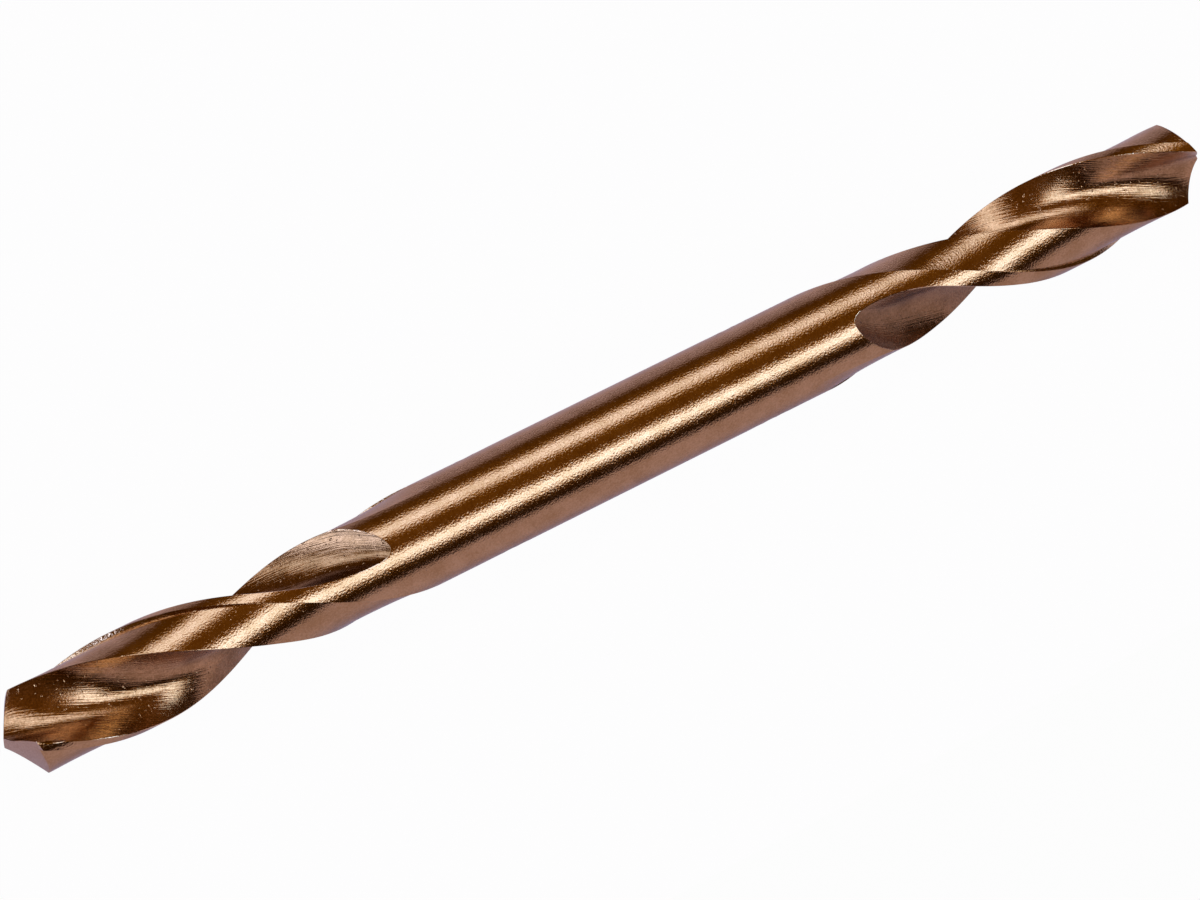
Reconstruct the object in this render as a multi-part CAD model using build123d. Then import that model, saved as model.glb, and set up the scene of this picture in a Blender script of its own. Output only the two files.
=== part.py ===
from build123d import *

import os
from dataclasses import dataclass
from math import asin, atan2, cos, degrees, radians, sin, sqrt, tan

# Whole drill: a round bar whose two ends are both ground to cut. The shank between
# them is smaller than the points by the back taper, which is taken off the radius.
diameter = 4.0
overall_length = 54.8
back_taper = 0.01

# Right-hand spiral, the same on both ends.
helix_angle = 25.7

# Drill point. The flank behind each lip is a parabola that falls away from it.
point_angle = 135.0
lip_relief_angle = 12.0
flank_radius = 4.8
web_thickness = 0.70

# Flute: a radial rake side, then a round bottom that touches the web.
flute_bottom_radius = 1.0
flute_slip_angle = 4.0

# Body clearance: the back of each land, ground down behind its narrow margin.
step_depth = 0.17
clearance_depth = 0.27
heel_depth = 0.24
clearance_lift_radius = 63.0
clearance_lift_out = 0.315
step_lift_share = 0.7
heel_lift_share = 2.2

# Nick knocked out of one leading edge of the left end, from its outer corner on.
nick_length = 1.15
nick_depth = 0.13
nick_width = 1.0

# How far the grinding paths reach past the metal, and how closely they are set out.
spare_length = 1.5
overreach = 0.5
flute_outside_share = 1.25
clearance_outside_share = 2.0
clearance_tail_share = 0.6
turn_between_sections = 30.0
sections_in_run_out = 9


@dataclass(frozen=True)
class CuttingEnd:
    """Sizes that the two ends were ground to separately."""

    turn: float
    land_angle: float
    flute_length: float
    flute_lift_radius: float
    clearance_length: float
    margin_at_point: float
    margin_at_run_out: float


right_end = CuttingEnd(
    turn=32.9,
    land_angle=79.0,
    flute_length=17.3,
    flute_lift_radius=6.0,
    clearance_length=19.8,
    margin_at_point=0.46,
    margin_at_run_out=0.88,
)
left_end = CuttingEnd(
    turn=132.9,
    land_angle=71.5,
    flute_length=16.4,
    flute_lift_radius=10.5,
    clearance_length=19.5,
    margin_at_point=0.40,
    margin_at_run_out=0.50,
)

radius = diameter / 2
shank_radius = radius - back_taper
half_length = overall_length / 2
half_web = web_thickness / 2
turn_per_mm = degrees(tan(radians(helix_angle)) / radius)
lip_slope = tan(radians(90 - point_angle / 2))
relief_slope = tan(radians(lip_relief_angle))


def polar(distance, angle):
    """Point of a cross-section at a distance from the axis and an angle in degrees."""
    return Vector(distance * cos(radians(angle)), distance * sin(radians(angle)))


def flank_fall(behind):
    """Drop of the flank at a distance behind its lip."""
    return relief_slope * behind + behind**2 / (2 * flank_radius)


lip_height = half_length + flank_fall(half_web)
corner_height = lip_height - sqrt(radius**2 - half_web**2) * lip_slope


def flute_section(end):
    """Space between two lands, with a leading edge at angle 0."""
    flute_angle = 180 - end.land_angle
    outer = flute_outside_share * radius
    rake_end = sqrt(2 * flute_bottom_radius * half_web + half_web**2)
    web_direction = degrees(atan2(flute_bottom_radius, rake_end))
    heel = polar(radius, flute_angle)
    rake = Line(polar(outer, 0), (rake_end, 0))
    bottom = CenterArc(
        (rake_end, flute_bottom_radius), flute_bottom_radius, -90, web_direction - 90
    )
    back = TangentArc(polar(half_web, web_direction), heel, tangent=polar(1, web_direction + 90))
    way_out = Line(heel, polar(outer, flute_angle))
    outside = CenterArc((0, 0), outer, 0, flute_angle)
    return make_face(Wire([rake, bottom, back, way_out, outside]))


def clearance_section(end, margin, lift):
    """Layer taken off the back of a land, with its leading edge at angle 0."""
    outer = clearance_outside_share * radius
    step_angle = -degrees(margin / radius)
    middle_angle = (step_angle - end.land_angle) / 2
    step_foot = polar(radius - step_depth + lift * step_lift_share, step_angle)
    middle = polar(radius - clearance_depth + lift, middle_angle)
    heel = polar(radius - heel_depth + lift * heel_lift_share, -end.land_angle)
    crown = middle * 2 - (step_foot + heel) / 2
    tail = heel + (heel - crown).normalized() * clearance_tail_share * radius
    tail_angle = degrees(atan2(tail.Y, tail.X))
    edges = [
        Line(polar(outer, step_angle), step_foot),
        Bezier(step_foot, crown, heel),
        Line(heel, tail),
        Line(tail, polar(outer, tail_angle)),
        CenterArc((0, 0), outer, tail_angle, step_angle - tail_angle),
    ]
    return make_face(Wire(edges))


def stations(lift_out, lift_radius, end_height):
    """Height, lift and share of the run-out for each section, from the point down."""
    run_out = sqrt(2 * lift_radius * lift_out)
    top = half_length + overreach
    lift_start = end_height + run_out
    steps = max(2, round((top - lift_start) * turn_per_mm / turn_between_sections))
    for step in range(steps + 1):
        yield top + (lift_start - top) * step / steps, 0.0, 0.0
    for step in range(1, sections_in_run_out + 2):
        share = step / sections_in_run_out
        yield lift_start - run_out * share, lift_out * share**2, share


def flute_path(end):
    """Grinding path of one flute, which lifts out of the bar on an arc."""
    section = flute_section(end)
    away = polar(1, (180 - end.land_angle) / 2)
    end_height = half_length - end.flute_length
    faces = []
    for height, lift, share in stations(radius - half_web, end.flute_lift_radius, end_height):
        turn = turn_per_mm * (height - corner_height) + flute_slip_angle * share**2
        faces.append(Pos(0, 0, height) * Rot(0, 0, turn) * Pos(*(away * lift)) * section)
    return loft(faces)


def clearance_path(end):
    """Grinding path of the body clearance behind one margin."""
    end_height = half_length - end.clearance_length
    faces = []
    for height, lift, _ in stations(clearance_lift_out, clearance_lift_radius, end_height):
        down = (half_length - height) / end.clearance_length
        margin = end.margin_at_point + (end.margin_at_run_out - end.margin_at_point) * down
        turn = turn_per_mm * (height - corner_height)
        faces.append(Pos(0, 0, height) * Rot(0, 0, turn) * clearance_section(end, margin, lift))
    return loft(faces)


def flank_path():
    """Everything above one flank, whose straight lines run parallel to its lip."""
    reach = radius + overreach
    ahead = -half_web
    behind = diameter
    start = Vector(0, half_web - ahead, -flank_fall(ahead))
    finish = Vector(0, half_web - behind, -flank_fall(behind))
    start_slope = relief_slope + ahead / flank_radius
    crown = Vector(0, (start.Y + finish.Y) / 2, start.Z - start_slope * (behind - ahead) / 2)
    front = Vector(0, reach, start.Z)
    edges = [
        Line(front, start),
        Bezier(start, crown, finish),
        Line(finish, (0, finish.Y, 2 * reach)),
        Line((0, finish.Y, 2 * reach), (0, front.Y, 2 * reach)),
        Line((0, front.Y, 2 * reach), front),
    ]
    along_lip = Vector(1, 0, -lip_slope)
    inner_end = along_lip * -reach + Vector(0, 0, lip_height)
    face = Pos(*inner_end) * make_face(Wire(edges))
    block = extrude(face, 2 * reach * along_lip.length, dir=along_lip)
    return Rot(0, 0, -degrees(asin(half_web / radius))) * block


def half_bar(end):
    """Half of the bar before it is ground: the plain shank, then the slight back taper."""
    taper_start = half_length - end.clearance_length
    taper_length = end.clearance_length + spare_length
    end_radius = shank_radius + back_taper * taper_length / end.clearance_length
    shank = Pos(0, 0, taper_start / 2) * Cylinder(shank_radius, taper_start)
    taper = Pos(0, 0, taper_start + taper_length / 2) * Cone(shank_radius, end_radius, taper_length)
    return shank + taper


def ground_half(end):
    """Half of the bar, standing up with its ground end at the top."""
    bar = half_bar(end)
    for path in (flank_path(), flute_path(end), clearance_path(end)):
        for side in (0, 180):
            bar -= Rot(0, 0, end.turn + side) * path
    return bar


def nick():
    """Round-bottomed space of the nick, on the leading edge at angle 0."""
    lean = radians(helix_angle)
    along_edge = Vector(0, sin(lean), cos(lean))
    off_rake = Vector(0, cos(lean), -sin(lean))
    away = (Vector(1, 0, 0) + off_rake).normalized()
    bottom_radius = (nick_length**2 / 4 + nick_depth**2) / (2 * nick_depth)
    centre = Vector(radius, 0, 0) + away * (bottom_radius - nick_depth)
    below_corner = nick_length / 2 * cos(lean)
    space = Plane(origin=centre, z_dir=along_edge.cross(away)) * Cylinder(bottom_radius, nick_width)
    return Pos(0, 0, corner_height - below_corner) * Rot(0, 0, -turn_per_mm * below_corner) * space


def drill_bit():
    """The whole drill, lying along X with its middle at the origin."""
    left_half = ground_half(left_end) - Rot(0, 0, left_end.turn) * nick()
    upright = ground_half(right_end) + Rot(180, 0, 0) * left_half
    return Rot(0, 90, 0) * upright


os.makedirs("parts", exist_ok=True)
export_step(drill_bit(), "parts/drill_bit.step")
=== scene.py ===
import logging
import math
from collections.abc import Callable
from dataclasses import dataclass, field
from enum import Enum, IntEnum
from functools import cached_property

import bmesh
import bpy
import numpy as np
from mathutils import Matrix, Vector
from mathutils.geometry import delaunay_2d_cdt


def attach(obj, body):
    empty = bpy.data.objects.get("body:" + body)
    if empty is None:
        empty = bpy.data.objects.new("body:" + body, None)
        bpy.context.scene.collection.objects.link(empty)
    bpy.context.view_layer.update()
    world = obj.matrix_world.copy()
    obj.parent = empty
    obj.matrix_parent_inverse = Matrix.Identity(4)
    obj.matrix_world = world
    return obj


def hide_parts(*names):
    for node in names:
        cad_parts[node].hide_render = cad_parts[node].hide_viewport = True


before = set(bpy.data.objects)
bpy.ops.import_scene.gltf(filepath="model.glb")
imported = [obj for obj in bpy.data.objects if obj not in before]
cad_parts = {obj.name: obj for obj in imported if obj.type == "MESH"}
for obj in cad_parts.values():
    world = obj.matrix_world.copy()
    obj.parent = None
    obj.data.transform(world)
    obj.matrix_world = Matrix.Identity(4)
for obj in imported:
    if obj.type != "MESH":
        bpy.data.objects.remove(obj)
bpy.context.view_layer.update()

log = logging.getLogger("drill_bit_scene")

# The drill's sizes are in millimetres and degrees. Floor, lights and camera stand in metres.
MM = 0.001

# A length under this one counts as nothing.
TINY = 1e-9

# A cut shows in a section when at least so many points of its outline lie inside the bar.
LEAST_INSIDE = 2

# Broken edges take at most this share of a stretch off each of its ends.
MOST_SHORTENED = 0.25

PLACES_MAP = "places"
WHITE = (1.0, 1.0, 1.0, 1.0)
ALONG_DRILL = Vector((1.0, 0.0, 0.0))

Colour = tuple[float, float, float, float]
Span = tuple[float, float]
Socket = bpy.types.NodeSocket


class Role(Enum):
    """What a light does for the metal."""

    KEY = "key"
    KEY_RIM = "key_rim"
    TOP = "top"
    TOP_RIM = "top_rim"
    SIDE = "side"
    BACK = "back"


class Surface(IntEnum):
    """Kinds of ground surface, numbered as the materials on the drill's mesh."""

    GROUND_ROUND = 0
    LAND_BACK = 1
    FLUTE_WALL = 2
    # Broken edges and steps. Their lighter colour is a painted highlight along them.
    EDGE_BREAK_HIGHLIGHT = 3
    POINT_FLANK = 4


@dataclass(frozen=True)
class ShaderBench:
    """Adds the nodes that a metal finish is made of to one material."""

    tree: bpy.types.NodeTree

    def feed(self, socket: Socket, value: Socket | float) -> None:
        """Links a value to an input, or sets it there if it is a plain number.

        Args:
            socket: the input.
            value: the output of another node, or a number.
        """
        if isinstance(value, (int, float)):
            socket.default_value = value
        else:
            self.tree.links.new(value, socket)

    def noise(self, place: Socket, size: float, detail: float) -> Socket:
        """Adds a noise.

        Args:
            place: coordinates that it is drawn over.
            size: size of its spots, in the units of the coordinates.
            detail: how many finer noises are laid over it.

        Returns:
            The noise, from 0 to 1.
        """
        node = self.tree.nodes.new("ShaderNodeTexNoise")
        node.inputs["Scale"].default_value = 1 / size
        node.inputs["Detail"].default_value = detail
        self.feed(node.inputs["Vector"], place)
        return node.outputs["Fac"]

    def maths(self, operation: str, one: Socket, two: Socket | float) -> Socket:
        """Adds a sum, a product or another operation on two values.

        Args:
            operation: name of the operation on the node.
            one: the first value.
            two: the second value.

        Returns:
            The result.
        """
        node = self.tree.nodes.new("ShaderNodeMath")
        node.operation = operation
        self.feed(node.inputs[0], one)
        self.feed(node.inputs[1], two)
        return node.outputs[0]

    def ranged(self, value: Socket, source: Span, result: Span) -> Socket:
        """Adds a change of range, held to the ends of the new range.

        Args:
            value: the value.
            source: range that it comes in.
            result: range that it is brought to.

        Returns:
            The value in its new range.
        """
        node = self.tree.nodes.new("ShaderNodeMapRange")
        names = ("From Min", "From Max", "To Min", "To Max")
        for name, number in zip(names, (*source, *result)):
            node.inputs[name].default_value = number
        self.feed(node.inputs["Value"], value)
        return node.outputs["Result"]


@dataclass(frozen=True)
class BronzeFinish:
    """Satin bronze-coloured oxide on ground high speed steel.

    Grain, stripes and pits are heights of the relief, and each has its own size on the surface. A
    span is what of the noise is spread over the tint, the roughness or the pits.
    """

    base: Colour = (0.63, 0.395, 0.205, 1.0)
    deep: Colour = (0.48, 0.28, 0.125, 1.0)
    tint_span: Span = (0.78, 1.22)
    rough: Span = (0.085, 0.15)
    rough_span: Span = (0.7, 1.3)
    grain: float = 0.0122
    grain_size: float = 0.080
    grain_detail: float = 3.0
    blotch_size: float = 0.9
    blotch_detail: float = 5.0
    stripe: float = 0.0
    stripe_angle: float = 0.0
    stripe_width: float = 0.035
    stripe_stretch: float = 30.0
    pits: float = 0.005
    pit_size: float = 0.16
    pit_share: Span = (0.74, 0.82)
    pit_detail: float = 1.0
    # Painted shade: the colour is darkened by this share towards the flutes' run-outs, over this reach
    # along the drill.
    run_out_shade: float = 0.0
    run_out_shade_reach: Span = (13.0, 16.5)

    def material(self, name: str) -> bpy.types.Material:
        """Builds the metal's material.

        Args:
            name: name of the material.

        Returns:
            The material, with its grain, blotches, grinding stripes and pits.
        """
        made = bpy.data.materials.new(name)
        made.use_nodes = True
        bench = ShaderBench(made.node_tree)
        shader = bench.tree.nodes["Principled BSDF"]
        shader.inputs["Metallic"].default_value = 1.0
        solid = bench.tree.nodes.new("ShaderNodeTexCoord").outputs["Object"]
        flat = bench.tree.nodes.new("ShaderNodeUVMap")
        flat.uv_map = PLACES_MAP
        places = flat.outputs["UV"]
        grain = bench.noise(solid, self.grain_size * MM, self.grain_detail)
        blotch = bench.noise(solid, self.blotch_size * MM, self.blotch_detail)
        mottle = bench.maths("ADD", grain, blotch)
        bench.feed(shader.inputs["Base Color"], self.shade(bench, mottle, places))
        bench.feed(shader.inputs["Roughness"], bench.ranged(mottle, self.rough_span, self.rough))
        bench.feed(shader.inputs["Normal"], self.relief(bench, grain, solid, places))
        return made

    def shade(self, bench: ShaderBench, mottle: Socket, places: Socket) -> Socket:
        """Colours the oxide, deeper in patches, with painted shade darkening it at the flutes' run-outs.

        Args:
            bench: where the nodes are added.
            mottle: grain and blotches together.
            places: how far across and along the drill a spot lies, in millimetres.

        Returns:
            The colour.
        """
        tint = bench.tree.nodes.new("ShaderNodeMix")
        tint.data_type = "RGBA"
        tint.inputs["A"].default_value = self.deep
        tint.inputs["B"].default_value = self.base
        bench.feed(tint.inputs["Factor"], bench.ranged(mottle, self.tint_span, (0.0, 1.0)))
        if not self.run_out_shade:
            return tint.outputs["Result"]
        # Painted shade, darker towards the flutes' run-outs.
        split = bench.tree.nodes.new("ShaderNodeSeparateXYZ")
        bench.feed(split.inputs["Vector"], places)
        kept = bench.ranged(split.outputs["Y"], self.run_out_shade_reach, (1 - self.run_out_shade, 1.0))
        dim = bench.tree.nodes.new("ShaderNodeVectorMath")
        dim.operation = "SCALE"
        bench.feed(dim.inputs[0], tint.outputs["Result"])
        bench.feed(dim.inputs["Scale"], kept)
        return dim.outputs[0]

    def relief(self, bench: ShaderBench, grain: Socket, solid: Socket, places: Socket) -> Socket:
        """Raises the grain and the grinding stripes, and sinks the pits.

        Args:
            bench: where the nodes are added.
            grain: the fine grain.
            solid: coordinates in the drill's own frame, in metres.
            places: how far across and along the drill a spot lies, in millimetres.

        Returns:
            The bumped normal.
        """
        height = bench.maths("MULTIPLY", grain, self.grain)
        if self.stripe:
            turn = bench.tree.nodes.new("ShaderNodeMapping")
            turn.vector_type = "TEXTURE"
            turn.inputs["Rotation"].default_value = (0.0, 0.0, math.radians(self.stripe_angle))
            turn.inputs["Scale"].default_value = (1.0, self.stripe_stretch, 1.0)
            bench.feed(turn.inputs["Vector"], places)
            stripes = bench.noise(turn.outputs["Vector"], self.stripe_width, self.grain_detail)
            height = bench.maths("ADD", height, bench.maths("MULTIPLY", stripes, self.stripe))
        pit = bench.noise(solid, self.pit_size * MM, self.pit_detail)
        height = bench.maths("ADD", height, bench.ranged(pit, self.pit_share, (0.0, -self.pits)))
        bump = bench.tree.nodes.new("ShaderNodeBump")
        bump.inputs["Strength"].default_value = 1.0
        bump.inputs["Distance"].default_value = MM
        bench.feed(bump.inputs["Height"], height)
        return bump.outputs["Normal"]


def polar(distance: float, angle: float) -> np.ndarray:
    """Finds a point of a cross-section.

    Args:
        distance: how far it lies from the drill's axis.
        angle: its angle from the leading edge.

    Returns:
        The point.
    """
    return distance * np.array([math.cos(math.radians(angle)), math.sin(math.radians(angle))])


def bearing(point: np.ndarray) -> float:
    """Finds a point's angle from the leading edge."""
    return math.degrees(math.atan2(point[1], point[0]))


def distances(points: np.ndarray) -> np.ndarray:
    """Measures how far points lie from the drill's axis."""
    return np.hypot(*points.T)


def turned(points: np.ndarray, angle: float | np.ndarray) -> np.ndarray:
    """Turns points of a cross-section about the drill's axis.

    Args:
        points: the points.
        angle: one angle for them all, or one for each.

    Returns:
        The turned points.
    """
    c, s = np.cos(np.radians(angle)), np.sin(np.radians(angle))
    x, y = points.T
    return np.stack([x * c - y * s, x * s + y * c], 1)


def unit(vectors: np.ndarray) -> np.ndarray:
    """Brings vectors to a length of one, and leaves those without a length at nothing."""
    lengths = np.hypot(*vectors.T)[:, None]
    return np.where(lengths > TINY, vectors / np.maximum(lengths, TINY), 0)


def run_along(line: np.ndarray) -> np.ndarray:
    """Measures how far along a polyline each of its points lies."""
    return np.concatenate([[0.0], np.cumsum(np.hypot(*np.diff(line, axis=0).T))])


def points_at(line: np.ndarray, runs: np.ndarray) -> np.ndarray:
    """Finds the points of a polyline that lie so far along it."""
    return np.stack([np.interp(runs, run_along(line), values) for values in line.T], 1)


def spaced(line: np.ndarray, count: int) -> np.ndarray:
    """Sets the points of a polyline out again at even steps.

    Args:
        line: the polyline.
        count: how many steps it gets.

    Returns:
        The new points, one more than the steps.
    """
    length = run_along(line)[-1]
    if length < TINY:
        return np.repeat(line[:1], count + 1, axis=0)
    return points_at(line, np.linspace(0.0, length, count + 1))


def shortened(line: np.ndarray, start: float, end: float) -> np.ndarray:
    """Shortens a polyline at its two ends, where it is long enough.

    Args:
        line: the polyline.
        start: how much comes off its start.
        end: how much comes off its end.

    Returns:
        The shorter polyline.
    """
    run = run_along(line)
    length = run[-1]
    if length < TINY or start + end == 0:
        return line
    most = length * MOST_SHORTENED
    low, high = min(start, most), length - min(end, most)
    kept = run[(run > low + TINY) & (run < high - TINY)]
    return points_at(line, np.concatenate([[low], kept, [high]]))


def crossing(one: np.ndarray, two: np.ndarray) -> tuple[int, int, np.ndarray] | None:
    """Finds where two polylines first cross.

    Args:
        one: the first polyline.
        two: the second polyline.

    Returns:
        The number of the segment on each polyline and the point, or None if they don't cross.
    """
    starts_one, starts_two = one[:-1, None], two[None, :-1]
    r, s, q = one[1:, None] - starts_one, two[None, 1:] - starts_two, starts_two - starts_one
    det = r[..., 0] * s[..., 1] - r[..., 1] * s[..., 0]
    with np.errstate(divide="ignore", invalid="ignore"):
        t = (q[..., 0] * s[..., 1] - q[..., 1] * s[..., 0]) / det
        u = (q[..., 0] * r[..., 1] - q[..., 1] * r[..., 0]) / det
    hit = (t >= 0) & (t <= 1) & (u >= 0) & (u <= 1)
    if not hit.any():
        return None
    i, j = np.argwhere(hit)[0]
    return i, j, one[i] + (one[i + 1] - one[i]) * t[i, j]


def surface_point(line: np.ndarray, gap: np.ndarray, index: int) -> np.ndarray:
    """Finds where a polyline passes through the bar's surface.

    Args:
        line: the polyline.
        gap: how far each of its points lies outside the bar.
        index: number of the last point before it passes through.

    Returns:
        The point on the surface.
    """
    return line[index] + (line[index + 1] - line[index]) * gap[index] / (gap[index] - gap[index + 1])


@dataclass(frozen=True)
class Ground:
    """Sizes that both ends share."""

    radius: float = 2.0
    shank_radius: float = 1.99
    half_length: float = 27.4
    helix_angle: float = 25.7
    point_angle: float = 135.0
    relief_angle: float = 12.0
    flank_radius: float = 4.8
    half_web: float = 0.35
    bottom_radius: float = 1.0
    slip_angle: float = 4.0
    step_depth: float = 0.17
    clearance_depth: float = 0.27
    heel_depth: float = 0.24
    lift_radius: float = 63.0
    lift_out: float = 0.315
    step_share: float = 0.7
    heel_share: float = 2.2

    @cached_property
    def lip_slope(self) -> float:
        """Fall of a lip for each millimetre outwards."""
        return math.tan(math.radians(90 - self.point_angle / 2))

    @cached_property
    def relief_slope(self) -> float:
        """Fall of a flank for each millimetre behind its lip, at the lip."""
        return math.tan(math.radians(self.relief_angle))

    @cached_property
    def turn_per_mm(self) -> float:
        """Turn of the spiral for each millimetre of height."""
        return math.degrees(math.tan(math.radians(self.helix_angle)) / self.radius)

    @cached_property
    def lip_height(self) -> float:
        """Height at which the lines of the lips pass the axis."""
        return self.half_length + self.fall(self.half_web)

    @cached_property
    def corner_height(self) -> float:
        """Height of the lips' outer corners."""
        return self.lip_height - math.sqrt(self.radius**2 - self.half_web**2) * self.lip_slope

    @cached_property
    def lip_angle(self) -> float:
        """Angle between a lip and the line from the axis to its outer corner."""
        return math.degrees(math.asin(self.half_web / self.radius))

    def fall(self, behind: float | np.ndarray) -> float | np.ndarray:
        """Works out the drop of a flank at a distance behind its lip."""
        return self.relief_slope * behind + behind**2 / (2 * self.flank_radius)

    def flank_height(self, points: np.ndarray) -> np.ndarray:
        """Works out the height of the point's two flanks.

        Args:
            points: points of the cross-section at the outer corners' height.

        Returns:
            Height of the lower flank over each of them.
        """
        x, y = turned(points, self.lip_angle).T
        one = self.lip_height - self.lip_slope * x - self.fall(self.half_web - y)
        two = self.lip_height + self.lip_slope * x - self.fall(self.half_web + y)
        return np.minimum(one, two)


@dataclass(frozen=True)
class Samples:
    """How many points each stretch of a section is worked out with before it is spaced out."""

    rake: int = 160
    flute_bottom: int = 120
    flute_back: int = 260
    flute_outside: int = 40
    land_back: int = 240
    land_tail: int = 120
    bar: int = 30


@dataclass(frozen=True)
class Steps:
    """How many steps each stretch of half a section has in the mesh."""

    margin: int = 12
    wall: int = 2
    back: int = 26
    heel: int = 12
    flute: int = 44


@dataclass(frozen=True)
class EndShape:
    """Cross-sections of one ground end, standing up with its point at the top.

    The turn of the spiral is left out of them, so that a leading edge is always at angle 0. The
    chamfer is the width of a broken edge, and the search is the stretch, round the end of a run-out,
    in which the height is found where a cut leaves the bar.
    """

    turn: float
    land_angle: float
    flute_length: float
    flute_lift_radius: float
    clearance_length: float
    margin_at_point: float
    margin_at_run_out: float
    chamfer: float = 0.022
    outside_share: float = 1.25
    tail_share: float = 0.6
    least_step: float = 1e-6
    search_below: float = 2.0
    search_above: float = 3.0
    search_rounds: int = 50
    ground: Ground = Ground()
    samples: Samples = Samples()
    steps: Steps = Steps()

    @cached_property
    def flute_end(self) -> float:
        """Height at which the flutes' run-outs are laid out to end."""
        return self.ground.half_length - self.flute_length

    @cached_property
    def flute_run_out(self) -> float:
        """Length of a flute's run-out."""
        return math.sqrt(2 * self.flute_lift_radius * (self.ground.radius - self.ground.half_web))

    @cached_property
    def clearance_end(self) -> float:
        """Height at which the body clearances' run-outs are laid out to end."""
        return self.ground.half_length - self.clearance_length

    @cached_property
    def clearance_run_out(self) -> float:
        """Length of a body clearance's run-out."""
        return math.sqrt(2 * self.ground.lift_radius * self.ground.lift_out)

    @cached_property
    def flute_gone(self) -> float:
        """Height at which the flutes leave the bar."""
        return self.last_height(self.flute_at, self.flute_end)

    @cached_property
    def flute_gone_angle(self) -> float:
        """Angle at which a flute leaves the bar."""
        return self.deepest_angle(self.flute_at(self.flute_gone))

    @cached_property
    def clearance_gone(self) -> float:
        """Height at which the body clearances leave the bar."""
        return self.last_height(self.land_back_at, self.clearance_end)

    @cached_property
    def clearance_gone_angle(self) -> float:
        """Angle at which a body clearance leaves the bar."""
        return self.deepest_angle(self.land_back_at(self.clearance_gone))

    @cached_property
    def flute_curve(self) -> np.ndarray:
        """Lays out a flute at full depth.

        Returns:
            Its outline, from above the rake to above the heel.
        """
        g, samples = self.ground, self.samples
        outside = self.outside_share * g.radius
        flute_angle = 180 - self.land_angle
        rake_end = math.sqrt(2 * g.bottom_radius * g.half_web + g.half_web**2)
        web = math.degrees(math.atan2(g.bottom_radius, rake_end))
        rake = np.stack([np.linspace(outside, rake_end, samples.rake), np.zeros(samples.rake)], 1)
        sweep = np.radians(np.linspace(-90, web - 180, samples.flute_bottom))
        bottom_x = rake_end + g.bottom_radius * np.cos(sweep)
        bottom = np.stack([bottom_x, g.bottom_radius * (1 + np.sin(sweep))], 1)
        back = self.tangent_arc(polar(g.half_web, web), polar(g.radius, flute_angle), web + 90)
        way_out = np.linspace(g.radius, outside, samples.flute_outside)
        out = np.stack([polar(distance, flute_angle) for distance in way_out])
        return np.concatenate([rake, bottom[1:], back[1:], out[1:]])

    def tangent_arc(self, start: np.ndarray, end: np.ndarray, direction: float) -> np.ndarray:
        """Lays an arc between two points.

        Args:
            start: the point it leaves.
            end: the point it reaches.
            direction: the angle in which it leaves.

        Returns:
            Points of the arc.
        """
        along = polar(1, direction)
        side = np.array([-along[1], along[0]])
        chord = end - start
        reach = (chord @ chord) / (2 * (chord @ side))
        centre = start + side * reach
        first, last = (math.atan2(*(point - centre)[::-1]) for point in (start, end))
        bend = (last - first + math.pi) % (2 * math.pi) - math.pi
        angles = first + bend * np.linspace(0, 1, self.samples.flute_back)
        return centre + abs(reach) * np.stack([np.cos(angles), np.sin(angles)], 1)

    def bar_radius(self, height: float) -> float:
        """Finds the radius of the bar before it is ground, with its slight back taper."""
        share = max(0.0, (height - self.clearance_end) / self.clearance_length)
        return self.ground.shank_radius + (self.ground.radius - self.ground.shank_radius) * share

    def last_height(self, outline_at: Callable[[float], np.ndarray], end: float) -> float:
        """Finds the lowest height at which a cut still reaches into the bar.

        Args:
            outline_at: gives the cut's outline at a height.
            end: height at which the cut's run-out is laid out to end.

        Returns:
            The height, found by halving the stretch it lies in.
        """
        low, high = end - self.search_below, end + self.search_above
        for _ in range(self.search_rounds):
            middle = (low + high) / 2
            inside = distances(outline_at(middle)) < self.bar_radius(middle)
            if inside.sum() >= LEAST_INSIDE:
                high = middle
            else:
                low = middle
        return high

    @staticmethod
    def deepest_angle(outline: np.ndarray) -> float:
        """Finds the angle of the point of an outline that lies nearest to the axis."""
        return bearing(outline[np.argmin(distances(outline))])

    @staticmethod
    def run_out_share(height: float, end: float, run_out: float) -> float:
        """Finds what share of a run-out lies above a height, from 0 at its start."""
        return max(0.0, (end + run_out - height) / run_out)

    def flute_at(self, height: float) -> np.ndarray:
        """Finds the outline of a flute at a height.

        Args:
            height: height of the section.

        Returns:
            The outline, lifted and turned as its run-out has it.
        """
        share = self.run_out_share(height, self.flute_end, self.flute_run_out)
        depth = self.ground.radius - self.ground.half_web
        away = polar(1, (180 - self.land_angle) / 2)
        return turned(self.flute_curve + away * depth * share**2, self.ground.slip_angle * share**2)

    def land_back_at(self, height: float) -> np.ndarray:
        """Finds the outline of a land's back at a height.

        Args:
            height: height of the section.

        Returns:
            The outline, from the foot of the step behind the margin to beyond the heel.
        """
        g = self.ground
        down = (g.half_length - height) / self.clearance_length
        margin = self.margin_at_point + (self.margin_at_run_out - self.margin_at_point) * down
        lift = g.lift_out * self.run_out_share(height, self.clearance_end, self.clearance_run_out) ** 2
        step = -math.degrees(margin / g.radius)
        foot = polar(g.radius - g.step_depth + lift * g.step_share, step)
        middle = polar(g.radius - g.clearance_depth + lift, (step - self.land_angle) / 2)
        heel = polar(g.radius - g.heel_depth + lift * g.heel_share, -self.land_angle)
        crown = middle * 2 - (foot + heel) / 2
        u = np.linspace(0, 1, self.samples.land_back)[:, None]
        back = (1 - u) ** 2 * foot + 2 * u * (1 - u) * crown + u**2 * heel
        onward = (heel - crown) / np.hypot(*(heel - crown))
        beyond = np.linspace(0, 1, self.samples.land_tail)[:, None]
        tail = heel + onward * self.tail_share * g.radius * beyond
        return np.concatenate([back, tail[1:]])

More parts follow.
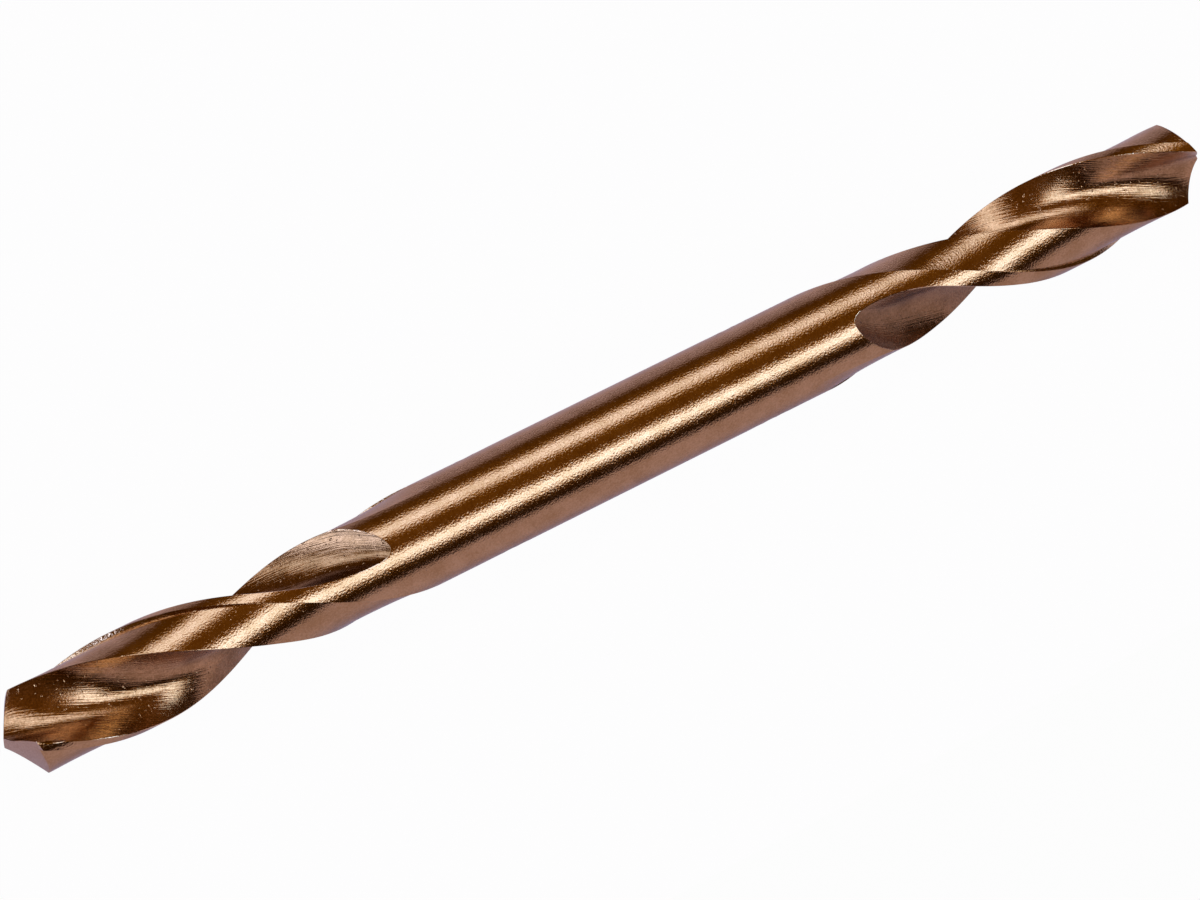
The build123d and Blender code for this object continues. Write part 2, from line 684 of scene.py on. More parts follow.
    def flute_inside(self, height: float) -> np.ndarray:
        """Finds the part of a flute's outline that lies inside the bar.

        Args:
            height: height of the section.

        Returns:
            The outline, from the leading edge to the heel, or one point where it only touches.
        """
        line = self.flute_at(height)
        bar = self.bar_radius(height)
        gap = distances(line) - bar
        inside = np.where(gap < 0)[0]
        if len(inside) < LEAST_INSIDE:
            lowest = line[np.argmin(gap)]
            return (lowest / distances(lowest) * bar)[None, :]
        first, last = inside[0], inside[-1]
        edges = [surface_point(line, gap, index) for index in (first - 1, last)]
        return np.concatenate([edges[:1], line[first : last + 1], edges[1:]])

    def flute_side(self, height: float) -> tuple[float, float, np.ndarray]:
        """Finds what the two flutes leave of the bar's round outline.

        Args:
            height: height of the section.

        Returns:
            The angle of the leading edge, the angle of its land's heel, and the outline of the flute
            beyond that heel. Below the flutes the outline is one point.
        """
        if height <= self.flute_gone:
            heel_angle = self.flute_gone_angle - 180
            return self.flute_gone_angle, heel_angle, polar(self.bar_radius(height), heel_angle)[None, :]
        flute = self.flute_inside(height)
        beyond = -flute[::-1]
        lead_angle, heel_angle = bearing(flute[0]), bearing(beyond[0])
        if heel_angle > lead_angle:
            heel_angle -= 360
        return lead_angle, heel_angle, beyond

    def back_side(self, height: float) -> tuple[np.ndarray, np.ndarray, bool]:
        """Finds what the body clearance takes off a land.

        Args:
            height: height of the section.

        Returns:
            The outline of the step behind the margin, the outline of the back, and whether the step
            has any height. Without height it is one point, and below the clearance so is the back.
        """
        bar = self.bar_radius(height)
        if height <= self.clearance_gone:
            spot = polar(bar, self.clearance_gone_angle)[None, :]
            return spot, spot, False
        line = self.land_back_at(height)
        gap = distances(line) - bar
        inside = np.where(gap < 0)[0]
        first, last = max(inside[0], 1), inside[-1]
        end = surface_point(line, gap, last)
        if gap[0] < -self.least_step:
            step = np.stack([polar(bar, bearing(line[0])), line[0]])
            return step, np.concatenate([line[: last + 1], [end]]), True
        start = surface_point(line, gap, first - 1)
        return start[None, :], np.concatenate([[start], line[first : last + 1], [end]]), False

    def bar_arc(self, height: float, start: float, end: float) -> np.ndarray:
        """Lays out what is left of the bar's round outline.

        Args:
            height: height of the section.
            start: angle of its first point.
            end: angle of its last point.

        Returns:
            Points between the two angles.
        """
        bar = self.bar_radius(height)
        return np.stack([polar(bar, angle) for angle in np.linspace(start, end, self.samples.bar)])

    def half_outline(self, height: float) -> np.ndarray:
        """Lays out half of a section, with its edges broken.

        Args:
            height: height of the section.

        Returns:
            Points of the outline, clockwise from one leading edge to the other.
        """
        edge = self.chamfer if height > self.flute_gone else 0.0
        lead_angle, heel_angle, flute = self.flute_side(height)
        step, back, stepped = self.back_side(height)
        met = crossing(back, flute)
        if met is not None:
            i, j, point = met
            back = np.concatenate([back[: i + 1], [point]])
            flute = np.concatenate([[point], flute[j + 1 :]])
        step_edge = self.chamfer if stepped else 0.0
        margin = shortened(self.bar_arc(height, lead_angle, bearing(step[0])), edge, step_edge)
        step = shortened(step, step_edge, 0.0)
        flute = shortened(flute, edge, edge)
        if met is None:
            heel = shortened(self.bar_arc(height, bearing(back[-1]), heel_angle), 0.0, edge)
        else:
            back = shortened(back, 0.0, edge)
            heel = np.stack([back[-1], flute[0]])
        stretches = (
            (margin, self.steps.margin),
            (step, self.steps.wall),
            (back, self.steps.back),
            (heel, self.steps.heel),
            (flute, self.steps.flute),
        )
        return np.concatenate([spaced(line, count) for line, count in stretches])


@dataclass
class MeshParts:
    """Points and faces gathered for one mesh.

    Each face has the number of its finish, and each of its corners a place: how far across and along
    the drill it lies, in millimetres, for the grinding stripes and the painted shade at the run-outs.
    """

    points: list[np.ndarray] = field(default_factory=list)
    faces: list[list[int]] = field(default_factory=list)
    finishes: list[int] = field(default_factory=list)
    places: list[list[list[float]]] = field(default_factory=list)
    count: int = 0

    def add_points(self, points: np.ndarray) -> int:
        """Adds points.

        Args:
            points: the points.

        Returns:
            The number of the first one.
        """
        first = self.count
        self.points.append(points)
        self.count += len(points)
        return first

    def add_grid(self, rings: np.ndarray, finishes: np.ndarray, middles: np.ndarray | None = None) -> None:
        """Adds a grid of closed rings.

        Args:
            rings: points of each ring, from the first ring to the last.
            finishes: the finish of each column of faces.
            middles: for each column line, the line from which its places across are measured. Without
                them all are measured from the first.
        """
        rows, columns = rings.shape[:2]
        first = self.add_points(rings.reshape(-1, 3))
        index = first + np.arange(rows * columns).reshape(rows, columns)
        after = np.roll(index, -1, axis=1)
        quads = np.stack([index[:-1], after[:-1], after[1:], index[1:]], -1)
        step = np.linalg.norm(np.roll(rings, -1, axis=1) - rings, axis=2)
        across = np.concatenate([np.zeros((rows, 1)), np.cumsum(step, axis=1)], axis=1)
        if middles is not None:
            across = across - across[:, middles]
        along = np.abs(rings[..., 0])
        along_after = np.roll(along, -1, axis=1)
        u = np.stack([across[:-1, :-1], across[:-1, 1:], across[1:, 1:], across[1:, :-1]], -1)
        v = np.stack([along[:-1], along_after[:-1], along_after[1:], along[1:]], -1)
        self.faces += quads.reshape(-1, 4).tolist()
        self.places += np.stack([u, v], -1).reshape(-1, 4, 2).tolist()
        self.finishes += np.tile(finishes, rows - 1).tolist()


@dataclass(frozen=True)
class EndMesh:
    """Fine mesh of one ground end, lying along X.

    Level rings stand a pitch apart, and closer together near the heights where a cut leaves the bar.
    Above them columns run straight up to the point's flanks, and a cap of small triangles fills those.
    """

    shape: EndShape
    flipped: bool = False
    ring_pitch: float = 0.13
    slow_pitch: float = 0.2
    near_rings: int = 9
    near_flute: float = 0.5
    near_clearance: float = 0.6
    before_flute: float = 0.05
    below_clearance: float = 0.4
    hair: float = 1e-4
    tip_rings: int = 20
    tip_margin: float = 0.12
    corner_below: float = 2.6
    corner_above: float = 1.4
    fit_rounds: int = 120
    fit_share: float = 0.4
    cap_pitch: float = 0.11
    cap_clear: float = 0.05
    chisel_points: int = 24
    chisel_reach: float = 1.6
    chisel_clear: float = 0.04
    chisel_end_clear: float = 0.01
    cap_fuse: float = 1e-6

    @cached_property
    def low(self) -> float:
        """Height from which the columns run straight up to the point."""
        return self.shape.ground.corner_height - self.corner_below

    @cached_property
    def high(self) -> float:
        """Height up to which the columns run straight, above the point."""
        return self.shape.ground.corner_height + self.corner_above

    @cached_property
    def low_points(self) -> np.ndarray:
        """Section points where the columns begin to run straight."""
        return self.outline(self.low)

    @cached_property
    def high_points(self) -> np.ndarray:
        """Section points where the straight columns end."""
        return self.outline(self.high)

    @cached_property
    def tops(self) -> np.ndarray:
        """Finds where the columns meet the point's flanks.

        Returns:
            The height of each column there.
        """
        g = self.shape.ground
        heights = np.full(len(self.low_points), g.corner_height)
        for _ in range(self.fit_rounds):
            points = turned(self.at(heights), g.turn_per_mm * (heights - g.corner_height))
            heights = (1 - self.fit_share) * heights + self.fit_share * g.flank_height(points)
        return heights

    @cached_property
    def tip_start(self) -> float:
        """Height of the last level ring, just below the point's flanks."""
        return self.tops.min() - self.tip_margin

    def near(self, start: float, reach: float) -> np.ndarray:
        """Sets heights out above a start, closest together there."""
        return start + reach * np.linspace(0, 1, self.near_rings) ** 2

    def heights(self) -> np.ndarray:
        """Sets out the level rings, closer together where a cut runs out.

        Returns:
            Their heights, from the shank up.
        """
        clearance, flute = self.shape.clearance_gone, self.shape.flute_gone
        slow_rings = max(2, round((flute - clearance) / self.slow_pitch))
        flute_rings = round((self.tip_start - flute - self.near_flute) / self.ring_pitch)
        marks = np.unique(np.concatenate([
            [clearance - self.below_clearance, clearance - self.hair],
            self.near(clearance + self.hair, self.near_clearance),
            np.linspace(clearance + self.near_clearance, flute - self.before_flute, slow_rings),
            [flute - self.hair],
            self.near(flute + self.hair, self.near_flute),
            np.linspace(flute + self.near_flute, self.tip_start, flute_rings),
        ]))
        kept = np.diff(marks) > self.hair / 2
        return marks[np.concatenate([[True], kept])]

    def outline(self, height: float) -> np.ndarray:
        """Lays out the whole outline of a section from its half."""
        half = self.shape.half_outline(height)
        return np.concatenate([half, -half])

    def at(self, heights: np.ndarray) -> np.ndarray:
        """Finds section points on the straight columns near the point.

        Args:
            heights: one height for each column.

        Returns:
            One point for each column.
        """
        share = ((heights - self.low) / (self.high - self.low))[:, None]
        return self.low_points + (self.high_points - self.low_points) * share

    def lay(self, points: np.ndarray, heights: np.ndarray) -> np.ndarray:
        """Gives section points the spiral's turn and lays them down along X.

        Args:
            points: points of the upright section.
            heights: the height of each.

        Returns:
            The points in the drill's own frame.
        """
        g = self.shape.ground
        angles = self.shape.turn + g.turn_per_mm * (heights - g.corner_height)
        return self.laid_down(turned(points, angles), heights)

    def lay_flank(self, points: np.ndarray) -> np.ndarray:
        """Lifts points of the corners' section to the flanks and lays them down along X.

        Args:
            points: points of the upright section, with the spiral's turn in them.

        Returns:
            The points in the drill's own frame.
        """
        angles = np.full(len(points), self.shape.turn)
        return self.laid_down(turned(points, angles), self.shape.ground.flank_height(points))

    def laid_down(self, points: np.ndarray, heights: np.ndarray) -> np.ndarray:
        """Lays upright points down, towards the end's own side.

        Args:
            points: the section points.
            heights: the height of each.

        Returns:
            The points in the drill's own frame.
        """
        x, y = points.T
        if self.flipped:
            return np.stack([-heights, -y, -x], 1)
        return np.stack([heights, y, -x], 1)

    def column_finishes(self) -> np.ndarray:
        """Lists the finish of each column of faces.

        Returns:
            Numbers of the finishes, right round the section.
        """
        steps = self.shape.steps
        half = (
            [Surface.GROUND_ROUND] * (steps.margin + 1)
            + [Surface.EDGE_BREAK_HIGHLIGHT] * (steps.wall + 1)
            + [Surface.LAND_BACK] * (steps.back + 1)
            + [Surface.GROUND_ROUND] * steps.heel
            + [Surface.EDGE_BREAK_HIGHLIGHT]
            + [Surface.FLUTE_WALL] * steps.flute
            + [Surface.EDGE_BREAK_HIGHLIGHT]
        )
        return np.array(half + half)

    def flute_middles(self) -> np.ndarray:
        """Lists, for each column line, the line in the middle of its half's flute.

        Returns:
            Numbers of the lines, right round the section and back to the first.
        """
        half = len(self.low_points) // 2
        middle = half - 1 - self.shape.steps.flute // 2
        return np.repeat([middle, half + middle], [half, half + 1])

    def build(self, parts: MeshParts) -> np.ndarray:
        """Adds the end to the mesh parts.

        Args:
            parts: the mesh parts to add to.

        Returns:
            Points of the ring next to the shank.
        """
        g, tops = self.shape.ground, self.tops
        rings = [self.lay(self.outline(height), np.full(len(tops), height)) for height in self.heights()]
        last = tops - self.shape.chamfer
        for ring in range(1, self.tip_rings + 1):
            heights = self.tip_start + (last - self.tip_start) * ring / self.tip_rings
            rings.append(self.lay(self.at(heights), heights))
        edge = turned(self.at(tops), g.turn_per_mm * (tops - g.corner_height))
        rim = self.inset(edge, self.shape.chamfer)
        rings.append(self.lay_flank(rim))
        parts.add_grid(np.stack(rings), self.column_finishes(), self.flute_middles())
        self.add_cap(parts, rim)
        return rings[0]

    @staticmethod
    def inset(loop: np.ndarray, distance: float) -> np.ndarray:
        """Moves a clockwise closed loop inwards.

        Args:
            loop: points of the loop.
            distance: how far they move.

        Returns:
            Points of the smaller loop.
        """
        ahead, behind = np.roll(loop, -1, axis=0) - loop, loop - np.roll(loop, 1, axis=0)
        way = unit(unit(ahead) + unit(behind))
        return loop + np.stack([way[:, 1], -way[:, 0]], 1) * distance

    def thinned(self, loop: np.ndarray) -> np.ndarray:
        """Leaves out the points of a closed loop that lie together.

        Args:
            loop: points of the loop.

        Returns:
            The points that are left.
        """
        kept = [loop[0]]
        for point in loop[1:]:
            if np.hypot(*(point - kept[-1])) > self.hair:
                kept.append(point)
        if np.hypot(*(kept[-1] - kept[0])) < self.hair:
            kept.pop()
        return np.array(kept)

    def chisel_edge(self) -> np.ndarray:
        """Lays out the chisel edge, the line over the web on which the two flanks meet.

        Returns:
            Points of the edge, with the lips' turn in them.
        """
        g = self.shape.ground
        slope = (g.relief_slope + g.half_web / g.flank_radius) / g.lip_slope
        reach = g.half_web * self.chisel_reach
        y = np.linspace(-reach, reach, self.chisel_points)
        return turned(np.stack([y * slope, y], 1), -g.lip_angle)

    def add_cap(self, parts: MeshParts, loop: np.ndarray) -> None:
        """Adds the two flanks, with the chisel edge between them.

        Args:
            parts: the mesh parts to add to.
            loop: the closed loop that the flanks fill.
        """
        ring = self.thinned(loop)
        chisel = self.chisel_edge()
        chisel = chisel[self.within(chisel, ring, self.chisel_end_clear)]
        marks = np.arange(-self.shape.ground.radius, self.shape.ground.radius + TINY, self.cap_pitch)
        grid = np.stack(np.meshgrid(marks, marks), -1).reshape(-1, 2)
        grid = grid[self.within(grid, ring, self.cap_clear)]
        gaps = grid[:, None] - chisel[None]
        grid = grid[np.hypot(gaps[..., 0], gaps[..., 1]).min(axis=1) > self.chisel_clear]
        around, over = len(ring), len(chisel)
        edges = [(i, (i + 1) % around) for i in range(around)]
        edges += [(around + i, around + i + 1) for i in range(over - 1)]
        points = [Vector(point) for point in np.concatenate([ring, chisel, grid])]
        flat, _, faces, *_ = delaunay_2d_cdt(points, edges, [], 1, self.cap_fuse)
        flat = np.array([tuple(point) for point in flat])
        first = parts.add_points(self.lay_flank(flat))
        for face in faces:
            parts.faces.append([first + i for i in face])
            parts.places.append(flat[face].tolist())
            parts.finishes.append(Surface.POINT_FLANK)

    @staticmethod
    def within(points: np.ndarray, ring: np.ndarray, clear: float) -> np.ndarray:
        """Tells which points lie inside a ring.

        Args:
            points: the points.
            ring: points of the ring.
            clear: how far from the ring they have to lie.

        Returns:
            Whether each point does.
        """
        x, y = points[:, 0][:, None], points[:, 1][:, None]
        x0, y0 = ring.T
        dx, dy = np.roll(x0, -1) - x0, np.roll(y0, -1) - y0
        with np.errstate(divide="ignore", invalid="ignore"):
            crossed = ((y0 > y) != (np.roll(y0, -1) > y)) & (x < dx * (y - y0) / dy + x0)
        t = np.clip(((x - x0) * dx + (y - y0) * dy) / np.maximum(dx**2 + dy**2, TINY), 0, 1)
        away = np.hypot(x - x0 - t * dx, y - y0 - t * dy).min(axis=1)
        return (crossed.sum(axis=1) % 2 == 1) & (away > clear)


@dataclass(frozen=True)
class Nick:
    """Small round-bottomed nick in one leading edge of the left end, from its outer corner on.

    The reach is how far to either side of the edge the mesh is pressed in.
    """

    length: float = 1.15
    depth: float = 0.13
    reach: float = 0.5

    def knock(self, points: np.ndarray, end: EndShape) -> None:
        """Presses the nick into the mesh of the left end.

        Args:
            points: points of the drill, which are moved.
            end: shape of the left end.
        """
        g = end.ground
        lean = math.radians(g.helix_angle)
        below = self.length / 2 * math.cos(lean)
        along = np.array([0, math.sin(lean), math.cos(lean)])
        away = np.array([1.0, math.cos(lean), -math.sin(lean)])
        away /= np.linalg.norm(away)
        bottom = (self.length**2 / 4 + self.depth**2) / (2 * self.depth)
        centre = np.array([g.radius, 0, g.corner_height - below]) + away * (bottom - self.depth)
        turn = end.turn - g.turn_per_mm * below
        middle, edge_axis, away_axis = (self.laid_down(spot, turn) for spot in (centre, along, away))
        gap = points - middle
        edgewise, outward = gap @ edge_axis, gap @ away_axis
        beside = gap - np.outer(outward, away_axis) - np.outer(edgewise, edge_axis)
        near = (np.hypot(edgewise, outward) < bottom) & (np.linalg.norm(beside, axis=1) < self.reach)
        sunk = -np.sqrt(np.maximum(bottom**2 - edgewise[near] ** 2, 0))
        points[near] += np.outer(sunk - outward[near], away_axis)

    @staticmethod
    def laid_down(spot: np.ndarray, turn: float) -> np.ndarray:
        """Turns a point or a direction of the upright left end and lays it down.

        Args:
            spot: the point or direction.
            turn: the turn about the axis.

        Returns:
            The same in the drill's own frame.
        """
        x, y = turned(spot[None, :2], turn)[0]
        return np.array([-spot[2], -y, -x])


@dataclass(frozen=True)
class DrillBit:
    """The drill, one solid ground bar that stands for the CAD node.

    Over the blend length beside each end, the points of the shank's rings come to stand evenly.
    """

    node: str = "drill_bit"
    right_end: EndShape = EndShape(
        turn=32.9,
        land_angle=79.0,
        flute_length=17.3,
        flute_lift_radius=6.0,
        clearance_length=19.8,
        margin_at_point=0.46,
        margin_at_run_out=0.88,
    )
    left_end: EndShape = EndShape(
        turn=132.9,
        land_angle=71.5,
        flute_length=16.4,
        flute_lift_radius=10.5,
        clearance_length=19.5,
        margin_at_point=0.40,
        margin_at_run_out=0.50,
    )
    nick: Nick = Nick()
    blend_length: float = 2.5
    shank_rings: int = 5
    shrink: float = 0.9985
    weld_gap: float = 0.0003
    sharp_angle: float = 28.0

    def build(self) -> bpy.types.Object:
        """Builds the mesh, dresses it and puts it in the CAD node's place.

        Returns:
            The drill.
        """
        parts = MeshParts()
        for end, flipped in ((self.right_end, False), (self.left_end, True)):
            ring = EndMesh(end, flipped).build(parts)
            self.add_shank(parts, ring)
        mesh = self.mesh(parts)
        finishes = self.finishes()
        for surface in Surface:
            mesh.materials.append(finishes[surface].material(surface.name.lower()))
        self.weld(mesh)
        self.true_normals(mesh)
        drill = bpy.data.objects.new("ground_drill_bit", mesh)
        bpy.context.scene.collection.objects.link(drill)
        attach(drill, "root")
        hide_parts(self.node)
        return drill

    def finishes(self) -> dict[Surface, BronzeFinish]:
        """Chooses the finish of each kind of ground surface.

        Returns:
            The finishes.
        """
        return {
            Surface.GROUND_ROUND: BronzeFinish(),
            Surface.LAND_BACK: BronzeFinish(stripe=0.0012, stripe_angle=8.0),
            # Painted shade: the flute walls are coloured darker than the lands, and darker still towards
            # their run-outs.
            Surface.FLUTE_WALL: BronzeFinish(
                base=(0.63, 0.37, 0.18, 1.0),
                deep=(0.36, 0.20, 0.085, 1.0),
                rough=(0.11, 0.20),
                grain=0.004,
                stripe=0.011,
                stripe_angle=20.0,
                stripe_width=0.055,
                pits=0.010,
                pit_share=(0.68, 0.77),
                run_out_shade=0.34,
            ),
            # Painted highlight: the broken edges and steps are coloured lighter so that they show as
            # bright lines.
            Surface.EDGE_BREAK_HIGHLIGHT: BronzeFinish(base=(0.88, 0.68, 0.44, 1.0), deep=(0.66, 0.44, 0.25, 1.0)),
            # Painted reflection: the point's flanks are coloured paler and greyer, standing in for the
            # bluish light they reflect.
            Surface.POINT_FLANK: BronzeFinish(
                base=(0.62, 0.46, 0.34, 1.0),
                deep=(0.50, 0.34, 0.23, 1.0),
                grain=0.004,
                stripe=0.006,
                stripe_angle=10.0,
            ),
        }

    def shank_ring(self, along: float, angles: np.ndarray) -> np.ndarray:
        """Lays one ring of the plain shank.

        Args:
            along: where it lies along the drill.
            angles: the angle of each of its points.

        Returns:
            Its points.
        """
        radius = self.right_end.ground.shank_radius
        return np.stack([np.full(len(angles), along), radius * np.cos(angles), radius * np.sin(angles)], 1)

    def add_shank(self, parts: MeshParts, ring: np.ndarray) -> None:
        """Adds half of the shank, from an end's first ring to the drill's middle.

        Args:
            parts: the mesh parts to add to.
            ring: the end's first ring.
        """
        count = len(ring)
        angles = np.unwrap(np.arctan2(ring[:, 2], ring[:, 1]))
        way = np.sign(angles[-1] - angles[0])
        step = 2 * math.pi / count
        even = round(angles[0] / step) * step + way * step * np.arange(count)
        start = ring[0, 0]
        stop = start - math.copysign(self.blend_length, start)
        shares = np.linspace(0, 1, self.shank_rings)
        rings = [
            self.shank_ring(start + (stop - start) * share, angles + (even - angles) * share)
            for share in shares
        ]
        rings += [self.shank_ring(stop * (1 - share), even) for share in shares[1:]]
        parts.add_grid(np.stack(rings), np.full(count, Surface.GROUND_ROUND))

    def mesh(self, parts: MeshParts) -> bpy.types.Mesh:
        """Makes one mesh of the gathered parts, with the nick in it.

        Args:
            parts: the mesh parts.

        Returns:
            The mesh, drawn in by a hair so that it stays inside the solid.
        """
        points = np.concatenate(parts.points)
        self.nick.knock(points, self.left_end)
        points[:, 1:] *= self.shrink
        mesh = bpy.data.meshes.new(self.node + "_ground")
        mesh.from_pydata((points * MM).tolist(), [], parts.faces)
        places = mesh.uv_layers.new(name=PLACES_MAP)
        flat = [number for face in parts.places for corner in face for number in corner]
        places.data.foreach_set("uv", np.array(flat, np.float32))
        mesh.polygons.foreach_set("material_index", np.array(parts.finishes, np.int32))
        return mesh

    def weld(self, mesh: bpy.types.Mesh) -> None:
        """Joins points that lie together, turns the faces outwards and shades them smooth.

        Args:
            mesh: the drill's mesh, whose sharp edges stay sharp.
        """
        work = bmesh.new()
        work.from_mesh(mesh)
        bmesh.ops.remove_doubles(work, verts=work.verts, dist=self.weld_gap * MM)
        bmesh.ops.recalc_face_normals(work, faces=work.faces)
        for face in work.faces:
            face.smooth = True
        work.to_mesh(mesh)
        work.free()
        mesh.set_sharp_from_angle(angle=math.radians(self.sharp_angle))

    @staticmethod
    def true_normals(mesh: bpy.types.Mesh) -> None:
        """Gives the round surfaces their exact normals, so that reflections run straight along them.

        Args:
            mesh: the drill's mesh.
        """
        corner = np.zeros(len(mesh.loops), np.int32)
        mesh.loops.foreach_get("vertex_index", corner)
        points = np.zeros(len(mesh.vertices) * 3, np.float32)
        mesh.vertices.foreach_get("co", points)
        normals = points.reshape(-1, 3)[corner].astype(float)
        normals[:, 0] = 0
        normals /= np.maximum(np.linalg.norm(normals, axis=1), TINY)[:, None]
        finish = np.zeros(len(mesh.polygons), np.int32)
        mesh.polygons.foreach_get("material_index", finish)
        sides = np.zeros(len(mesh.polygons), np.int32)
        mesh.polygons.foreach_get("loop_total", sides)
        normals[np.repeat(finish, sides) != Surface.GROUND_ROUND] = 0
        mesh.normals_split_custom_set(normals.tolist())


@dataclass(frozen=True)
class Floor:
    """Plain pale floor that the drill lies on."""

    height: float = -Ground.radius * MM
    half_width: float = 0.6
    front: float = -0.018
    back: float = 0.5
    seen: float = 0.97
    lit: Colour = (0.72, 0.52, 0.39, 1.0)
    # Painted glow: bluish light that the floor gives off where the metal sees it, though it is no lamp.
    glow: Colour = (0.13, 0.15, 0.28, 1.0)

    def build(self) -> bpy.types.Object:
        """Builds the floor and marks it as stage.

        Returns:
            The floor.
        """
        side, z = self.half_width, self.height
        mesh = bpy.data.meshes.new("floor")
        corners = [
            (-side, self.front, z),
            (side, self.front, z),
            (side, self.back, z),
            (-side, self.back, z),
        ]
        mesh.from_pydata(corners, [], [(0, 1, 2, 3)])
        floor = bpy.data.objects.new("floor", mesh)
        bpy.context.scene.collection.objects.link(floor)
        mesh.materials.append(self.material())
        return floor

    def material(self) -> bpy.types.Material:
        """Builds the matt floor paint.

        Returns:
            The paint, white where the camera sees it, and warm with a painted bluish glow where the metal
            does.
        """
        made = bpy.data.materials.new("floor_paint")
        made.use_nodes = True
        nodes, links = made.node_tree.nodes, made.node_tree.links
        nodes.clear()
        out = nodes.new("ShaderNodeOutputMaterial")
        paint = nodes.new("ShaderNodeBsdfDiffuse")
        paint.inputs["Color"].default_value = self.lit
        white = nodes.new("ShaderNodeEmission")
        white.inputs["Color"].default_value = WHITE
        under = nodes.new("ShaderNodeEmission")
        under.inputs["Color"].default_value = self.glow
        both = nodes.new("ShaderNodeAddShader")
        ray = nodes.new("ShaderNodeLightPath")
        share = nodes.new("ShaderNodeMath")
        share.operation = "MULTIPLY"
        share.inputs[1].default_value = self.seen
        mix = nodes.new("ShaderNodeMixShader")
        links.new(ray.outputs["Is Camera Ray"], share.inputs[0])
        links.new(share.outputs[0], mix.inputs["Fac"])
        links.new(paint.outputs[0], both.inputs[0])
        links.new(under.outputs[0], both.inputs[1])
        links.new(both.outputs[0], mix.inputs[1])
        links.new(white.outputs[0], mix.inputs[2])
        links.new(mix.outputs[0], out.inputs["Surface"])
        return made


@dataclass(frozen=True)
class SoftBox:
    """A rectangular soft light that runs along the drill."""

    role: Role
    elevation: float
    spread: float
    distance: float
    radiance: float
    colour: tuple[float, float, float]
    length: float = 0.9
    along: float = 0.12

    def build(self) -> bpy.types.Object:
        """Places the light, facing the drill.

        Returns:
            The light, which the camera doesn't see.
        """
        angle = math.radians(self.elevation)
        back = Vector((0.0, -math.cos(angle), math.sin(angle)))
        width = 2 * self.distance * math.tan(math.radians(self.spread / 2))
        data = bpy.data.lights.new(f"{self.role.value}_softbox", "AREA")
        data.shape = "RECTANGLE"
        data.size = self.length
        data.size_y = width
        data.color = self.colour
        data.energy = self.radiance * math.pi * width * self.length
        light = bpy.data.objects.new(data.name, data)
        bpy.context.scene.collection.objects.link(light)
        axes = Matrix((ALONG_DRILL, back.cross(ALONG_DRILL), back)).transposed()
        place = back * self.distance + ALONG_DRILL * self.along
        light.matrix_world = Matrix.Translation(place) @ axes.to_4x4()
        light.visible_camera = False
        return light


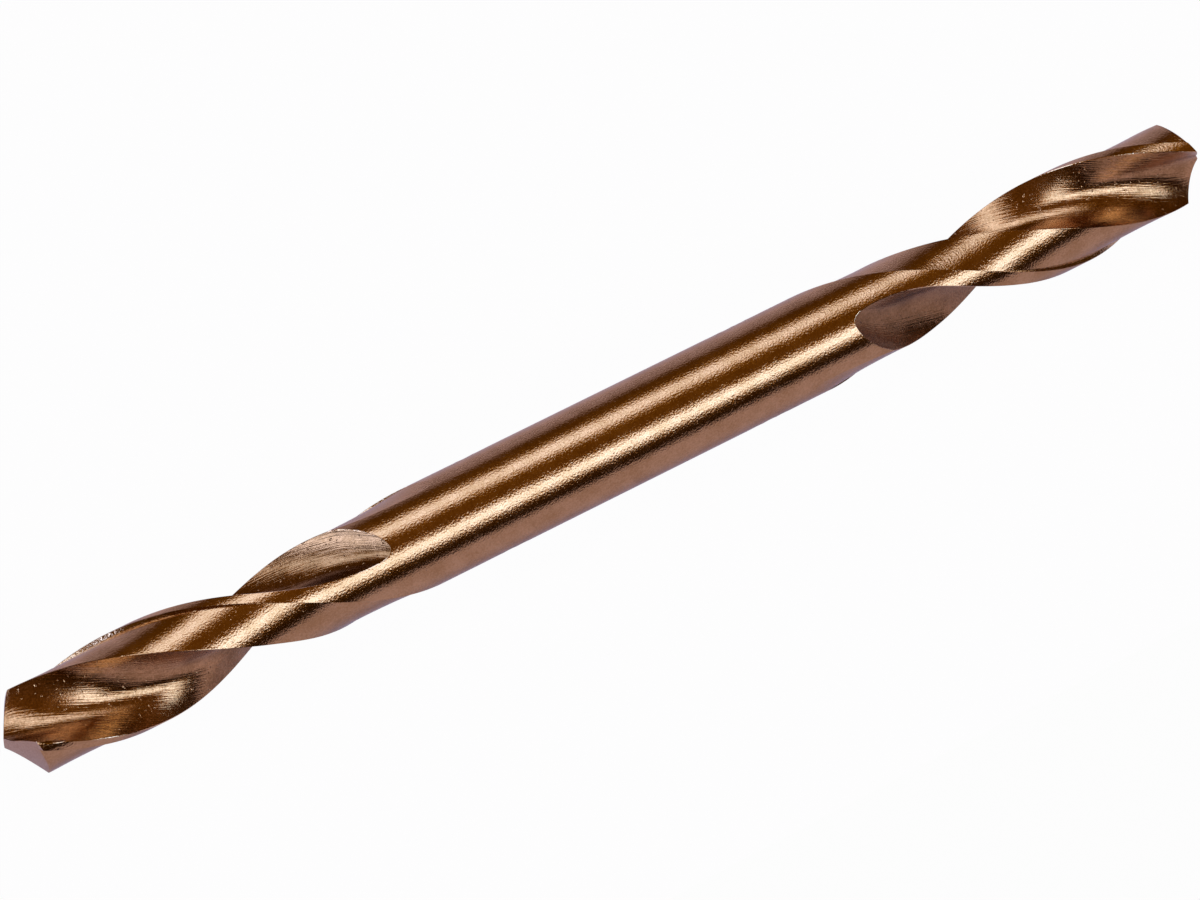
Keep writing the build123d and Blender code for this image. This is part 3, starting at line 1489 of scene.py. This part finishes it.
@dataclass(frozen=True)
class Studio:
    """Soft studio light and the dim room around it."""

    room: tuple[float, float, float] = (0.175, 0.075, 0.006)
    room_low: float = 0.12
    backdrop: float = 0.98
    boxes: tuple[SoftBox, ...] = (
        SoftBox(Role.KEY, elevation=37.2, spread=17.6, distance=0.45,
                radiance=2.2, colour=(0.45, 0.98, 1.84), length=0.55, along=0.24),
        SoftBox(Role.KEY_RIM, elevation=37.2, spread=26.0, distance=0.46,
                radiance=1.1, colour=(1.0, 0.62, 0.25), length=0.58, along=0.24),
        SoftBox(Role.TOP, elevation=105.0, spread=20.0, distance=0.45,
                radiance=1.38, colour=(0.58, 1.03, 1.90), length=0.56, along=-0.06),
        SoftBox(Role.TOP_RIM, elevation=105.0, spread=29.5, distance=0.46,
                radiance=0.72, colour=(1.0, 0.66, 0.25), length=0.62, along=-0.06),
        SoftBox(Role.SIDE, elevation=64.0, spread=34.0, distance=0.45,
                radiance=3.3, colour=(0.82, 1.0, 1.6), length=0.44, along=-0.66),
        SoftBox(Role.BACK, elevation=170.0, spread=24.0, distance=0.45,
                radiance=0.33, colour=(1.0, 0.9, 1.3)),
    )

    def build(self) -> list[bpy.types.Object]:
        """Builds the room and its lights.

        Returns:
            The lights.
        """
        bpy.context.scene.world = self.world()
        return [box.build() for box in self.boxes]

    def world(self) -> bpy.types.World:
        """Builds the dim room, darker below, which the camera sees as a white backdrop.

        Returns:
            The world.
        """
        world = bpy.data.worlds.new("studio_room")
        world.use_nodes = True
        nodes, links = world.node_tree.nodes, world.node_tree.links
        nodes["Background"].inputs["Color"].default_value = (*self.room, 1.0)
        place = nodes.new("ShaderNodeTexCoord")
        height = nodes.new("ShaderNodeSeparateXYZ")
        level = nodes.new("ShaderNodeMapRange")
        level.inputs["To Min"].default_value = self.room_low
        white = nodes.new("ShaderNodeBackground")
        white.inputs["Color"].default_value = (self.backdrop, self.backdrop, self.backdrop, 1.0)
        ray = nodes.new("ShaderNodeLightPath")
        mix = nodes.new("ShaderNodeMixShader")
        links.new(place.outputs["Generated"], height.inputs["Vector"])
        links.new(height.outputs["Z"], level.inputs["Value"])
        links.new(level.outputs["Result"], nodes["Background"].inputs["Strength"])
        links.new(ray.outputs["Is Camera Ray"], mix.inputs["Fac"])
        links.new(nodes["Background"].outputs[0], mix.inputs[1])
        links.new(white.outputs[0], mix.inputs[2])
        links.new(mix.outputs[0], nodes["World Output"].inputs["Surface"])
        return world


@dataclass(frozen=True)
class PhotoCamera:
    """Camera at the photograph's place, which looks down at the drill from the front left."""

    place: tuple[float, float, float] = (-71.878, -114.017, 177.140)
    pan: float = -31.8672
    tilt: float = 37.1374
    focal_pixels: float = 5686.8
    image_width: float = 1200.0
    sensor: float = 36.0
    clip: Span = (0.01, 20.0)

    def build(self) -> bpy.types.Object:
        """Builds the camera and makes it the scene's own.

        Returns:
            The camera.
        """
        data = bpy.data.cameras.new("photo_camera")
        data.sensor_fit = "HORIZONTAL"
        data.sensor_width = self.sensor
        data.lens = self.focal_pixels / self.image_width * self.sensor
        data.clip_start, data.clip_end = self.clip
        camera = bpy.data.objects.new("photo_camera", data)
        bpy.context.scene.collection.objects.link(camera)
        pan = Matrix.Rotation(math.radians(self.pan), 4, "Z")
        tilt = Matrix.Rotation(math.radians(self.tilt), 4, "X")
        camera.matrix_world = Matrix.Translation(Vector(self.place) * MM) @ pan @ tilt
        bpy.context.scene.camera = camera
        return camera


def main() -> None:
    """Builds the drill, the floor, the lights and the camera."""
    logging.basicConfig(level=logging.INFO, format="%(message)s")
    bpy.context.scene.view_settings.view_transform = "Standard"
    drill = DrillBit().build()
    log.info("built %s", drill.name)
    floor = Floor().build()
    log.info("built %s", floor.name)
    for light in Studio().build():
        log.info("built %s", light.name)
    camera = PhotoCamera().build()
    log.info("built %s", camera.name)


if __name__ == "__main__":
    main()
